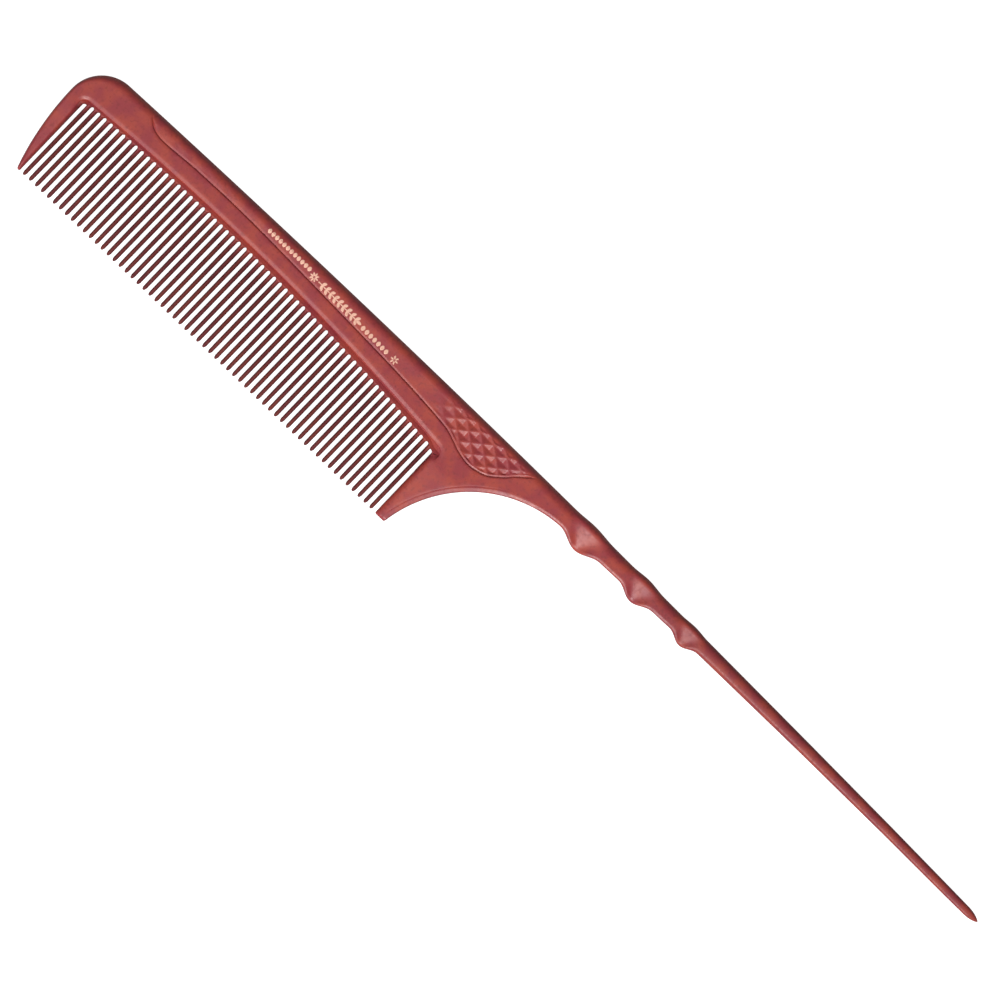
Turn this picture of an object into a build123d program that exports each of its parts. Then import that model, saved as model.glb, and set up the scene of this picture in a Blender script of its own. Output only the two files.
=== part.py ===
from build123d import *
import math
import os

# Rat tail comb for sectioning hair: one plastic moulding and a hot foil mark, lying on its side.
# The moulding is drawn as its working regions, which meet face to face on plain cuts.
# Frame: +X runs from the nose of the comb to the tip of the tail, the teeth point to -Y, +Z is the
# thickness, and the origin is the middle of the bounding box on the face that the comb lies on.
# Outlines are drawn in the comb's datum: x from the nose, h from the line of the tooth tips.

# ---- driving dimensions, mm ----
OVERALL_LENGTH = 230.0
OVERALL_WIDTH = 26.88  # tooth tips to the crown of the front finger rest
THICKNESS = 4.0
EDGE_ROUND = 1.2  # both edges of the back, the nose and the neck
HEEL_ROUND = 0.8  # both edges of the hollow heel

# Nose and back of the comb
NOSE_CORNER_RADIUS = 7.6
NOSE_CORNER_H = 18.09
NOSE_FRONT_RADIUS = 58.0
BACK_RADIUS = 3130.0
BACK_APEX = (88.6, 26.74)

# Fine teeth
TOOTH_COUNT = 59
TOOTH_PITCH = 1.55
FIRST_TOOTH_X = 4.595
TOOTH_ROOT_WIDTH = 0.80
TOOTH_TIP_WIDTH = 0.56
TOOTH_POINT = 0.5  # length of the pointed end
TOOTH_POINT_FLAT = 0.10  # half width of the blunt point
SLOT_RADIUS = 590.0  # the line that the slot tops follow
SLOT_APEX = (38.0, 19.07)
END_SLOT_DROP = 0.5  # the first and the last slot are shorter
STUB = 0.6  # teeth start this far below the lower of their two slot tops
ROOT_THICKNESS = 2.6
TIP_THICKNESS = 1.2
TAPER_TOP_H = 19.0  # the teeth thin out evenly below this

# Lip of the thick back, above the thin web that the teeth spring from
LIP_RADIUS = 530.0
LIP_APEX = (43.0, 19.80)
WEB_NOSE_X = 3.0
WEB_HEEL_X = 97.0
LIP_CORNER = 1.1
LIP_ROUND = 0.45

# Guard teeth
NOSE_GUARD_ROOT_H = 16.0
NOSE_GUARD_TIP = (2.75, 3.55)  # x of the outer and the inner side of the tip
HEEL_GUARD_ROOT_H = 14.4
HEEL_GUARD_TIP_X = 97.75
GUARD_TIP_THICKNESS = 2.0
GUARD_TIP_ROUND = 0.35

# Shallow panel in each face, between the back edge's round and a waved groove
PANEL_DEPTH = 0.3
PANEL_BACK_MARGIN = 1.9
GROOVE_LINE = [(18.5, 22.75), (41.0, 23.35), (60.0, 22.75), (80.0, 21.95), (92.9, 21.0), (102.3, 18.7)]
PANEL_NOSE_X = 15.2
PANEL_HEEL = (109.7, 22.9)

# Neck, heel and knurled grip
SPINE_END_X = 99.0
HEEL_CURVE_CENTRE = (123.5, -3.75)
HEEL_CURVE_RADIUS = 26.0
NECK_END_X = 122.4
KNURL_PITCH = (3.47, 2.68)
KNURL_FIRST_PIT = (103.04, 23.19)
KNURL_DEPTH = 0.22
KNURL_LAND = 0.2  # half width of the lattice between the pits

# Handle: top and bottom edges and depth run straight from the neck to the tail
HANDLE_START = (122.4, 26.56, 22.25, 4.0)
HANDLE_END = (158.4, 25.88, 22.80, 3.08)
# Finger rests: start, end, crown, length, how far the bottom drops and how far the top rises
FINGER_RESTS = {
    "finger_rest_front": (122.4, 135.0, 127.5, 10.2, 1.5, 0.41),
    "finger_rest_middle": (135.0, 148.2, 141.6, 8.6, 1.42, 0.35),
    "finger_rest_rear": (148.2, 158.4, 153.9, 7.0, 1.2, 0.22),
}

# Tail: x, height of the middle of the section, diameter
TAIL_START = (158.4, 24.34, 3.08)
TAIL_STATIONS = [(184.0, 24.02, 2.48), (206.0, 23.62, 2.08)]
TAIL_SHAFT_END = (222.0, 23.21, 1.84)
TAIL_TIP_STATION = (227.5, 23.07, 1.66)
TAIL_POINT_DIAMETER = 0.8

# Hot foil ornament on the front panel
FOIL_THICKNESS = 0.04
# Rows of lozenges: first x, last x, height of the row, half length, half height, count
FOIL_ROWS = [
    (45.4, 56.8, 24.05, 0.5, 0.36, 10),
    (59.2, 67.6, 23.75, 1.15, 0.42, 4),
    (70.4, 76.2, 23.5, 0.42, 0.42, 6),
]
FOIL_ROSETTE = (78.6, 23.45, 0.8, 0.34, 6)  # x, height, reach of a petal, its width, petals
FOIL_ROSETTE_EYE = 0.2

MID_Z = THICKNESS / 2
X, H = 0, 1


def arc_height(x, apex, radius):
    """Height at x of a wide circular arc that bows upward and is highest at apex."""
    return apex[H] - radius + math.sqrt(radius**2 - (x - apex[X]) ** 2)


def back_height(x):
    return arc_height(x, BACK_APEX, BACK_RADIUS)


def lip_height(x):
    return arc_height(x, LIP_APEX, LIP_RADIUS)


def nose_front_x(h):
    return NOSE_FRONT_RADIUS - math.sqrt(NOSE_FRONT_RADIUS**2 - (NOSE_CORNER_H - h) ** 2)


def heel_curve_x(h):
    cx, ch = HEEL_CURVE_CENTRE
    return cx - math.sqrt(HEEL_CURVE_RADIUS**2 - (h - ch) ** 2)


def heel_curve_h(x):
    cx, ch = HEEL_CURVE_CENTRE
    return ch + math.sqrt(HEEL_CURVE_RADIUS**2 - (x - cx) ** 2)


def tooth_half_width(h):
    """Half the width of a fine tooth at height h."""
    share = h / TAPER_TOP_H
    return (TOOTH_TIP_WIDTH + (TOOTH_ROOT_WIDTH - TOOTH_TIP_WIDTH) * share) / 2


def slot_x(slot):
    """Middle of a slot: slot 0 is beside the nose guard, slot TOOTH_COUNT beside the heel guard."""
    return FIRST_TOOTH_X + (slot - 0.5) * TOOTH_PITCH


def slot_top(slot):
    drop = END_SLOT_DROP if slot in (0, TOOTH_COUNT) else 0.0
    return arc_height(slot_x(slot), SLOT_APEX, SLOT_RADIUS) - drop


def tooth_root_h(tooth):
    """Height of the cut between a tooth and the web."""
    return min(slot_top(tooth), slot_top(tooth + 1)) - STUB


def plate(outline, bottom=0.0, top=THICKNESS):
    """A closed outline of edges as a plate between two heights."""
    face = make_face(Wire(outline))
    return extrude(Pos(0, 0, bottom) * face, amount=top - bottom, dir=(0, 0, 1))


def box_between(low, high):
    size = [b - a for a, b in zip(low, high)]
    return Pos(*low) * Box(*size, align=(Align.MIN, Align.MIN, Align.MIN))


def line(*points):
    """Straight edges through the points in turn."""
    return [Line(a, b).edge() for a, b in zip(points, points[1:])]


def arc(start, middle, end):
    return ThreePointArc(start, middle, end).edge()


def back_arc(start_x, end_x, margin=0.0):
    xs = (start_x, (start_x + end_x) / 2, end_x)
    return arc(*[(x, back_height(x) - margin) for x in xs])


def wedge(tip_thickness, root_thickness, root_h):
    """The slab that thins a tooth evenly from its root height to its tip, across the whole comb."""
    profile = Polyline(
        (0, MID_Z - tip_thickness / 2),
        (root_h, MID_Z - root_thickness / 2),
        (OVERALL_WIDTH, MID_Z - root_thickness / 2),
        (OVERALL_WIDTH, MID_Z + root_thickness / 2),
        (root_h, MID_Z + root_thickness / 2),
        (0, MID_Z + tip_thickness / 2),
        close=True,
    )
    return extrude(Plane.YZ * make_face(profile.edges()), amount=NECK_END_X)


def edges_on_faces(solid, touches):
    """Edges of the solid in its two flat faces whose middle point passes the test touches(x, h)."""
    picked = ShapeList()
    for edge in solid.edges():
        middle = edge.position_at(0.5)
        flat = abs(edge.position_at(0).Z - edge.position_at(1).Z) < 1e-6
        on_face = min(abs(middle.Z), abs(middle.Z - THICKNESS)) < 1e-6
        if flat and on_face and touches(middle.X, middle.Y):
            picked.append(edge)
    return picked


def near_heel_curve(x, h):
    cx, ch = HEEL_CURVE_CENTRE
    return abs(math.hypot(x - cx, h - ch) - HEEL_CURVE_RADIUS) < 0.01


def near_outer_edge(x, h):
    """True on the nose front, the nose corner and the back."""
    on_back = abs(h - back_height(x)) < 0.01
    corner = math.hypot(x - NOSE_CORNER_RADIUS, h - NOSE_CORNER_H)
    on_corner = x < NOSE_CORNER_RADIUS and abs(corner - NOSE_CORNER_RADIUS) < 0.01
    on_front = h < NOSE_CORNER_H and abs(x - nose_front_x(h)) < 0.01
    return on_back or on_corner or on_front


def panel_hollow(depth_from, depth_to, start_x, end_x):
    """The hollow of the front panel between two depths under the face and between two stations."""
    low_line = Spline(
        (PANEL_NOSE_X, back_height(PANEL_NOSE_X) - PANEL_BACK_MARGIN),
        *GROOVE_LINE,
        PANEL_HEEL,
        tangents=[(1, -0.6), (0.6, 1)],
    ).edge()
    heel_top = (PANEL_HEEL[X] + 0.6, back_height(PANEL_HEEL[X] + 0.6) - PANEL_BACK_MARGIN)
    outline = [low_line, *line(PANEL_HEEL, heel_top)]
    outline.append(back_arc(PANEL_NOSE_X, heel_top[X], PANEL_BACK_MARGIN))
    hollow = plate(outline, THICKNESS - depth_to, THICKNESS - depth_from)
    limits = box_between((start_x, 0, 0), (end_x, OVERALL_WIDTH, THICKNESS + 1))
    return hollow & limits


def other_face(shape):
    """The same shape seen through the comb, on its other face."""
    return mirror(shape, about=Plane.XY.offset(MID_Z))


def lip_edges():
    """The line where the thick back steps down to the web, from the heel end to the nose end."""
    nose_x = WEB_NOSE_X + LIP_CORNER
    heel_x = WEB_HEEL_X - LIP_CORNER
    middle_x = (nose_x + heel_x) / 2
    nose_h = lip_height(nose_x)
    heel_h = lip_height(heel_x)
    turn = LIP_CORNER * (1 - math.sqrt(0.5))
    return [
        arc(
            (WEB_HEEL_X, heel_h - LIP_CORNER),
            (WEB_HEEL_X - turn, heel_h - turn),
            (heel_x, heel_h),
        ),
        arc((heel_x, heel_h), (middle_x, lip_height(middle_x)), (nose_x, nose_h)),
        arc(
            (nose_x, nose_h),
            (WEB_NOSE_X + turn, nose_h - turn),
            (WEB_NOSE_X, nose_h - LIP_CORNER),
        ),
    ]


def near_lip(x, h):
    """True on the long stretch of the lip, between its two end corners."""
    along_row = WEB_NOSE_X + LIP_CORNER < x < WEB_HEEL_X - LIP_CORNER
    return along_row and abs(h - lip_height(x)) < 0.01


def make_spine():
    """Thick back of the fine tooth row, with the nose and the lip above the web."""
    guard_root = (nose_front_x(NOSE_GUARD_ROOT_H), NOSE_GUARD_ROOT_H)
    front_h = (NOSE_GUARD_ROOT_H + NOSE_CORNER_H) / 2
    front_top = (0, NOSE_CORNER_H)
    corner_turn = NOSE_CORNER_RADIUS * math.sqrt(0.5)
    corner_middle = (NOSE_CORNER_RADIUS - corner_turn, NOSE_CORNER_H + corner_turn)
    back_start = (NOSE_CORNER_RADIUS, back_height(NOSE_CORNER_RADIUS))
    lip = lip_edges()
    lip_start = lip[0].position_at(0)
    lip_end = lip[-1].position_at(1)
    outline = [
        arc(guard_root, (nose_front_x(front_h), front_h), front_top),
        arc(front_top, corner_middle, back_start),
        back_arc(NOSE_CORNER_RADIUS, SPINE_END_X),
        *line(
            (SPINE_END_X, back_height(SPINE_END_X)),
            (SPINE_END_X, HEEL_GUARD_ROOT_H),
            (WEB_HEEL_X, HEEL_GUARD_ROOT_H),
            lip_start,
        ),
        *lip,
        *line(lip_end, (WEB_NOSE_X, NOSE_GUARD_ROOT_H), guard_root),
    ]
    spine = plate(outline)
    spine = fillet(edges_on_faces(spine, near_outer_edge), EDGE_ROUND)
    spine = fillet(edges_on_faces(spine, near_lip), LIP_ROUND)
    hollow = panel_hollow(-1, PANEL_DEPTH, 0, SPINE_END_X + 1)
    return spine - hollow - other_face(hollow)


def slot_edges(slot):
    """Sides and round top of one slot, left to right, down to the roots of the teeth beside it."""
    middle = slot_x(slot)
    top = slot_top(slot)
    half = TOOTH_PITCH / 2 - tooth_half_width(top)
    left_root = NOSE_GUARD_ROOT_H if slot == 0 else tooth_root_h(slot - 1)
    right_root = HEEL_GUARD_ROOT_H if slot == TOOTH_COUNT else tooth_root_h(slot)
    left_half = TOOTH_PITCH / 2 - tooth_half_width(left_root)
    right_half = TOOTH_PITCH / 2 - tooth_half_width(right_root)
    shoulder_l = (middle - half, top - half)
    shoulder_r = (middle + half, top - half)
    left_foot = (middle - left_half, left_root)
    right_foot = (middle + right_half, right_root)
    edges = [
        *line(left_foot, shoulder_l),
        arc(shoulder_l, (middle, top), shoulder_r),
        *line(shoulder_r, right_foot),
    ]
    return edges, left_foot, right_foot


def make_web():
    """Thin web under the lip with the tops of all the slots, down to the roots of the teeth."""
    outline = []
    foot = (WEB_NOSE_X, NOSE_GUARD_ROOT_H)
    for slot in range(TOOTH_COUNT + 1):
        edges, left_foot, right_foot = slot_edges(slot)
        outline += line(foot, left_foot) + edges
        foot = right_foot
    lip = lip_edges()
    outline += line(foot, (WEB_HEEL_X, HEEL_GUARD_ROOT_H), lip[0].position_at(0))
    outline += lip
    outline += line(lip[-1].position_at(1), (WEB_NOSE_X, NOSE_GUARD_ROOT_H))
    return plate(outline) & wedge(TIP_THICKNESS, ROOT_THICKNESS, TAPER_TOP_H)


def make_fine_teeth():
    """All the fine teeth, each a separate solid from its root cut to its blunt point."""
    slab = wedge(TIP_THICKNESS, ROOT_THICKNESS, TAPER_TOP_H)
    teeth = []
    for tooth in range(TOOTH_COUNT):
        middle = FIRST_TOOTH_X + tooth * TOOTH_PITCH
        root_h = tooth_root_h(tooth)
        root_half = tooth_half_width(root_h)
        neck_half = tooth_half_width(TOOTH_POINT)
        outline = line(
            (middle - neck_half, TOOTH_POINT),
            (middle - root_half, root_h),
            (middle + root_half, root_h),
            (middle + neck_half, TOOTH_POINT),
            (middle + TOOTH_POINT_FLAT, 0),
            (middle - TOOTH_POINT_FLAT, 0),
            (middle - neck_half, TOOTH_POINT),
        )
        teeth.append((plate(outline) & slab).solid())
    return Compound(teeth)


def make_nose_guard():
    """Broad tooth at the nose that shields the first fine tooth."""
    outer_x, inner_x = NOSE_GUARD_TIP
    inner_root_x = slot_x(0) - TOOTH_PITCH / 2 + tooth_half_width(NOSE_GUARD_ROOT_H)
    middle_h = NOSE_GUARD_ROOT_H / 2
    outline = [
        arc(
            (nose_front_x(GUARD_TIP_ROUND), GUARD_TIP_ROUND),
            (nose_front_x(middle_h), middle_h),
            (nose_front_x(NOSE_GUARD_ROOT_H), NOSE_GUARD_ROOT_H),
        ),
        *line(
            (nose_front_x(NOSE_GUARD_ROOT_H), NOSE_GUARD_ROOT_H),
            (inner_root_x, NOSE_GUARD_ROOT_H),
            (inner_x, GUARD_TIP_ROUND),
        ),
        arc(
            (inner_x, GUARD_TIP_ROUND),
            ((outer_x + inner_x) / 2, 0),
            (nose_front_x(GUARD_TIP_ROUND), GUARD_TIP_ROUND),
        ),
    ]
    return plate(outline) & wedge(GUARD_TIP_THICKNESS, THICKNESS, NOSE_GUARD_ROOT_H)


def make_heel_guard():
    """Broad tooth at the heel, hollow on the side of the tail."""
    inner_root_x = slot_x(TOOTH_COUNT) + TOOTH_PITCH / 2 - tooth_half_width(HEEL_GUARD_ROOT_H)
    inner_tip_x = slot_x(TOOTH_COUNT) + TOOTH_PITCH / 2 - tooth_half_width(0)
    curve_hs = (HEEL_GUARD_ROOT_H, HEEL_GUARD_ROOT_H / 2, GUARD_TIP_ROUND)
    outline = [
        *line(
            (inner_tip_x, GUARD_TIP_ROUND),
            (inner_root_x, HEEL_GUARD_ROOT_H),
            (heel_curve_x(HEEL_GUARD_ROOT_H), HEEL_GUARD_ROOT_H),
        ),
        arc(*[(heel_curve_x(h), h) for h in curve_hs]),
        *line(
            (heel_curve_x(GUARD_TIP_ROUND), GUARD_TIP_ROUND),
            (HEEL_GUARD_TIP_X - GUARD_TIP_ROUND, 0),
            (inner_tip_x + GUARD_TIP_ROUND, 0),
            (inner_tip_x, GUARD_TIP_ROUND),
        ),
    ]
    return plate(outline) & wedge(GUARD_TIP_THICKNESS, THICKNESS, HEEL_GUARD_ROOT_H)


def make_neck():
    """Heel and neck between the comb and the handle, hollowed for the knurled grips."""
    outline = [
        back_arc(SPINE_END_X, NECK_END_X),
        *line((NECK_END_X, back_height(NECK_END_X)), (NECK_END_X, heel_curve_h(NECK_END_X))),
        arc(
            (NECK_END_X, heel_curve_h(NECK_END_X)),
            (heel_curve_x(20.0), 20.0),
            (heel_curve_x(HEEL_GUARD_ROOT_H), HEEL_GUARD_ROOT_H),
        ),
        *line(
            (heel_curve_x(HEEL_GUARD_ROOT_H), HEEL_GUARD_ROOT_H),
            (SPINE_END_X, HEEL_GUARD_ROOT_H),
            (SPINE_END_X, back_height(SPINE_END_X)),
        ),
    ]
    neck = plate(outline)
    neck = fillet(edges_on_faces(neck, near_outer_edge), EDGE_ROUND)
    neck = fillet(edges_on_faces(neck, near_heel_curve), HEEL_ROUND)
    hollow = panel_hollow(-1, PANEL_DEPTH, SPINE_END_X - 1, NECK_END_X)
    return neck - hollow - other_face(hollow)


def make_knurl():
    """Raised diamond lattice that fills the panel on the neck, flush with the flat face."""
    grip = panel_hollow(0, PANEL_DEPTH, SPINE_END_X, NECK_END_X).solid()
    step_x, step_h = KNURL_PITCH
    first_x, first_h = KNURL_FIRST_PIT
    reach_x = step_x / 2
    reach_h = step_h / 2
    share = 1 - KNURL_LAND / math.hypot(reach_x, reach_h) * 2
    probe_z = THICKNESS - PANEL_DEPTH / 2
    pits = []
    for row in range(-4, 3):
        shift = reach_x if row % 2 else 0.0
        for column in range(-2, 3):
            x = first_x + shift + column * step_x
            h = first_h + row * reach_h
            corners = [(x - reach_x, h), (x, h - reach_h), (x + reach_x, h), (x, h + reach_h)]
            if not all(grip.is_inside((a, b, probe_z)) for a, b in corners):
                continue
            ring = [(x + (a - x) * share, h + (b - h) * share) for a, b in corners]
            mouth = make_face(Polyline(*ring, close=True).edges())
            floor = Pos(x, h, THICKNESS - KNURL_DEPTH) * Rectangle(0.1, 0.1)
            pits.append(loft([Pos(0, 0, THICKNESS) * mouth, floor]))
    return grip - pits


def section(x, top, bottom, depth):
    """Oval across the handle at station x, between two heights."""
    plane = Plane(origin=(x, (top + bottom) / 2, MID_Z), x_dir=(0, 1, 0), z_dir=(1, 0, 0))
    return plane * Ellipse((top - bottom) / 2, depth / 2)


def handle_section(x, drop=0.0, rise=0.0):
    """Section of the handle at x, swollen downward by drop and upward by rise."""
    share = (x - HANDLE_START[X]) / (HANDLE_END[X] - HANDLE_START[X])
    top, bottom, depth = [a + (b - a) * share for a, b in zip(HANDLE_START[1:], HANDLE_END[1:])]
    return section(x, top + rise, bottom - drop, depth)


def make_finger_rests():
    """Three swellings of the handle, one after the other from the neck."""
    rests = {}
    for name, (start, end, crown, length, drop, rise) in FINGER_RESTS.items():
        swelling = [crown + length * share for share in (-0.5, -0.25, 0, 0.25, 0.5)]
        sections = [handle_section(start)] if start < swelling[0] else []
        for x in swelling:
            swell = math.cos(math.pi * (x - crown) / length) ** 2
            sections.append(handle_section(x, drop * swell, rise * swell))
        sections.append(handle_section(end))
        rests[name] = loft(sections)
    return rests


def round_section(station):
    x, middle, diameter = station
    return section(x, middle + diameter / 2, middle - diameter / 2, diameter)


def make_tail_shaft():
    """Round tapering tail, bowed a little towards the teeth."""
    return loft([round_section(s) for s in (TAIL_START, *TAIL_STATIONS, TAIL_SHAFT_END)])


def make_tail_tip():
    """Blunt rounded end of the tail that parts the hair."""
    x, middle, diameter = TAIL_TIP_STATION
    end = (OVERALL_LENGTH, middle, TAIL_POINT_DIAMETER)
    cone = loft([round_section(TAIL_SHAFT_END), round_section(TAIL_TIP_STATION)])
    nose = loft([round_section(TAIL_TIP_STATION), round_section(end)])
    return (cone + nose).clean()


def lozenge(half_length, half_height):
    ring = [(-half_length, 0), (0, -half_height), (half_length, 0), (0, half_height)]
    return make_face(Polyline(*ring, close=True).edges())


def make_foil_mark():
    """Foil ornament lying on the floor of the front panel: rows of lozenges and a rosette."""
    shapes = []
    for first_x, last_x, h, half_length, half_height, count in FOIL_ROWS:
        step = (last_x - first_x) / (count - 1)
        leaf = lozenge(half_length, half_height)
        shapes += [Pos(first_x + index * step, h) * leaf for index in range(count)]
    x, h, reach, width, petals = FOIL_ROSETTE
    petal = Pos((reach + FOIL_ROSETTE_EYE) / 2, 0) * lozenge((reach - FOIL_ROSETTE_EYE) / 2, width / 2)
    shapes += [Pos(x, h) * Rot(0, 0, turn * 360 / petals) * petal for turn in range(petals)]
    floor = Pos(0, 0, THICKNESS - PANEL_DEPTH)
    return Compound([extrude(floor * shape, amount=FOIL_THICKNESS).solid() for shape in shapes])


def main():
    knurl = make_knurl()
    nodes = {
        "back_spine": make_spine(),
        "tooth_web": make_web(),
        "fine_teeth": make_fine_teeth(),
        "nose_guard_tooth": make_nose_guard(),
        "heel_guard_tooth": make_heel_guard(),
        "neck": make_neck(),
        "grip_knurl_front": knurl,
        "grip_knurl_back": other_face(knurl),
        "tail_shaft": make_tail_shaft(),
        "tail_tip": make_tail_tip(),
        "foil_mark": make_foil_mark(),
    }
    nodes.update(make_finger_rests())
    to_frame = Pos(-OVERALL_LENGTH / 2, -OVERALL_WIDTH / 2, 0)
    os.makedirs("parts", exist_ok=True)
    for name, shape in nodes.items():
        export_step(to_frame * shape, f"parts/{name}.step")


main()
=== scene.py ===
import math
from functools import partial

import bpy
import numpy as np
from bpy.props import FloatProperty, FloatVectorProperty, IntProperty, PointerProperty
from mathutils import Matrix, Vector
from mathutils.geometry import delaunay_2d_cdt


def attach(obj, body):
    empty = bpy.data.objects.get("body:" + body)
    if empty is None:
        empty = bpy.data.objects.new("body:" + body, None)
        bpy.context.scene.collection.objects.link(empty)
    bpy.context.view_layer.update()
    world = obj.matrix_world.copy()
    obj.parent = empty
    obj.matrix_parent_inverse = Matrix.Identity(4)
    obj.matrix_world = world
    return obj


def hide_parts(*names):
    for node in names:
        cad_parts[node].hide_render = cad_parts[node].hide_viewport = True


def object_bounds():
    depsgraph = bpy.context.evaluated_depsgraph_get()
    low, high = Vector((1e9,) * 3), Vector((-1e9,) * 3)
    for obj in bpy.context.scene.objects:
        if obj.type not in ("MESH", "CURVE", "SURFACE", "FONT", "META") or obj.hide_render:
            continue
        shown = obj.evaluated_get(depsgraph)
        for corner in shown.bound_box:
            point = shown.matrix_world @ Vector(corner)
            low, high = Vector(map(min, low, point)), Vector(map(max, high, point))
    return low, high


bl_info = {
    "name": "Rat Tail Comb",
    "version": (1, 0, 0),
    "blender": (4, 5, 0),
    "location": "3D View > Sidebar > Comb",
    "description": "Builds the look of a moulded rat tail comb around its CAD frame",
    "category": "Object",
}

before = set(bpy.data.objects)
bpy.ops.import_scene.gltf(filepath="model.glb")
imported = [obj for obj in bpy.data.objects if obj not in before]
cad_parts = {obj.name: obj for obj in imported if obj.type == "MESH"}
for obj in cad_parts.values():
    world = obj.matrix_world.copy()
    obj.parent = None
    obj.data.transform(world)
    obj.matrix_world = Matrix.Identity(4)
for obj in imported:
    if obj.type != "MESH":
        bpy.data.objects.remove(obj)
LOW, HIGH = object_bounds()
MID_Z = (LOW.z + HIGH.z) / 2
MM = 0.001

# The comb is drawn in millimetres in its own datum: x from the nose, h up from the line of the
# tooth tips, and z from the middle of the thickness.

# Outline of the comb: the nose front, the nose corner, the back and the hollow heel
NOSE_FRONT = (58.0, 18.09, 58.0)  # centre x, centre h, radius
NOSE_CORNER = (7.6, 18.09, 7.6)
BACK_APEX = (88.6, 26.74)
BACK_RADIUS = 3130.0
HEEL_CURVE = (123.7, -3.54, 25.8)
MIDDLE_X = 50.0  # parts the nose end from the heel end
NECK_START_X = 106.0
NECK_END_X = 122.4
HALF_THICKNESS = 1.985
PARTING_HALF = 0.04  # half height of the flat at the parting line

# Handle: x, top, bottom and depth at both ends, straight between them
HANDLE_START = (NECK_END_X, 26.56, 22.23, 3.97)
HANDLE_END = (158.4, 25.88, 22.80, 3.08)
HANDLE_EDGE = 0.6  # width of the lower edge round of the neck and the handle
NECK_HALF = (HANDLE_START[1] - HANDLE_START[2]) / 2
# Finger rests: crown, length, how far the bottom drops and how far the top rises
FINGER_RESTS = [(127.5, 10.2, 1.5, 0.30), (141.6, 8.6, 1.42, 0.33), (153.9, 7.0, 1.2, 0.22)]
REST_PEAK = 0.55  # where a finger rest is thickest, from its middle (0) to its top (1)
REST_SLANT = 0.62  # how much thinner it is at its bottom
REST_FACE = (0.52, 0.28)  # half width of its slanted face and of the fade beside it, as shares of its length
# Tail: x, height of the middle, diameter
TAIL = [
    (HANDLE_END[0], 24.34, 3.08), (184.0, 24.02, 2.48), (206.0, 23.62, 2.08),
    (222.0, 23.21, 1.84), (230.0, 23.02, 1.64),
]
TAIL_POINT = 3.0  # length of the rounded end
TAIL_TAPER = 0.7  # 0.5 makes the end elliptic, and more makes it sharper
ROD_FADE = (146.0, 20.0)  # where the flat handle starts to turn into the round tail, and over what length
TAIL_SHADE = (126.0, 40.0, 0.3)  # where the painted shade on the tail starts, over what length it deepens, and how much it darkens the colour

# Guard teeth: root height, then the inner side at the tip and at the root
NOSE_GUARD = (16.0, 3.55, 3.44)
HEEL_GUARD = (14.4, 95.74, 95.64)
GUARD_SIDE_HEIGHT = 16.0  # height over which the inner side runs
GUARD_TOPS = (17.2, 15.4)  # where the round of the inner side ends: nose, heel
GUARD_RIMS = (0.6, 1.4)  # width of that round: nose, heel
GUARD_TIP_HALF = 1.0
GUARD_TIP_ROUND = 0.6
GUARD_BEND = 0.08  # how softly the taper of a guard tooth starts

# Shallow panel: the groove that bounds it below and at both ends
GROOVE = [
    (14.6, 25.3), (15.2, 24.2), (18.5, 22.75), (28.0, 23.2), (41.0, 23.35), (60.0, 22.75), (80.0, 21.95),
    (92.9, 21.0), (96.7, 20.1), (98.5, 19.4), (100.4, 18.9), (102.3, 18.7), (104.1, 18.96),
    (106.2, 19.7), (109.0, 22.0), (109.7, 22.9), (111.6, 24.5), (112.9, 25.6),
]
GROOVE_DEPTH = 0.1  # how far the groove sinks below the panel
GROOVE_FLANK = 0.26  # width of its shallow side, towards the panel
GROOVE_WALL = (0.34, 0.3)  # where its steep side starts outside the line, and its width
PANEL_FADE = (0.9, 1.0)  # where the panel starts below the back edge, and over what width
# Knurl: where it starts below the back edge, above the groove and along the comb, each with the length
# over which it deepens
KNURL_MARGIN = (1.15, 0.5)
KNURL_RISE = (0.25, 0.4)
KNURL_FADE = (88.5, 9.0)
KNURL_AREA = ((84.0, 112.2), (18.5, 25.6))  # range in x and in h where the mesh follows the knurl
KNURL_LAND = 0.1  # share of the pitch that stays level between two pits
KNURL_END_X = 115.0  # nothing is knurled beyond
# Small sink marks in the panel near the nose
DIMPLES = [(18.0, 24.2), (21.2, 24.2), (25.2, 24.25), (29.2, 24.3), (34.2, 24.3)]
DIMPLE_SIZE = (0.8, 0.55, 0.13)  # reach along x, reach in h, depth
# Faint line beside the rim of the heel: distance from the edge, width, depth
HEEL_LINE = (1.05, 0.14, 0.05)
HEEL_LINE_END = (112.0, 6.0)  # where it ends, and over what length it fades

# Lip: the line where the thick back steps down to the web
LIP_APEX = (43.0, 19.80)
LIP_RADIUS = 530.0
LIP_NOSE = (3.05, 1.2)  # x of the end and the radius of its corner
LIP_HEEL = (97.0, 1.5)
LIP_ENDS = (15.0, 12.0)  # height of its ends: nose, heel
LIP_FOOT = 0.36  # how far the foot of the lip lies below the face of the web
LIP_HEEL_RISE = (95.2, 0.8, 0.3)  # where the foot rises beside the heel, over what length, and how far
LIP_FADES = ((15.0, 2.6), (14.6, 1.7))  # height where the lip starts and the height it takes: nose, heel
SEAM_DROP = 0.15  # how far the hidden lower edge of the body lies outside the lip line
SEAM_STARTS = (17.6, 15.9)  # height above which it follows that line: nose, heel

# Fine teeth
TOOTH_PITCH = 1.55
SLOT_TOP = 19.07
WEB_HALF = (0.6, 0.7, 19.0)  # half thickness at the tips, how much it gains, and up to what height
TOOTH_HALVES = (0.395, 0.43)  # half width near the tip and at the root
TOOTH_LAP = 0.001  # how far the web of a tooth reaches past the middle between two teeth
TOOTH_FADE = (1.2, 1.7)  # where the painted shade of a tooth starts to fade below the slot top, and over what length
TOOTH_BURIED = 12.0  # height from which the two buried teeth are squeezed
SHARP = 0.004  # corner of an edge that is meant to be sharp

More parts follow.
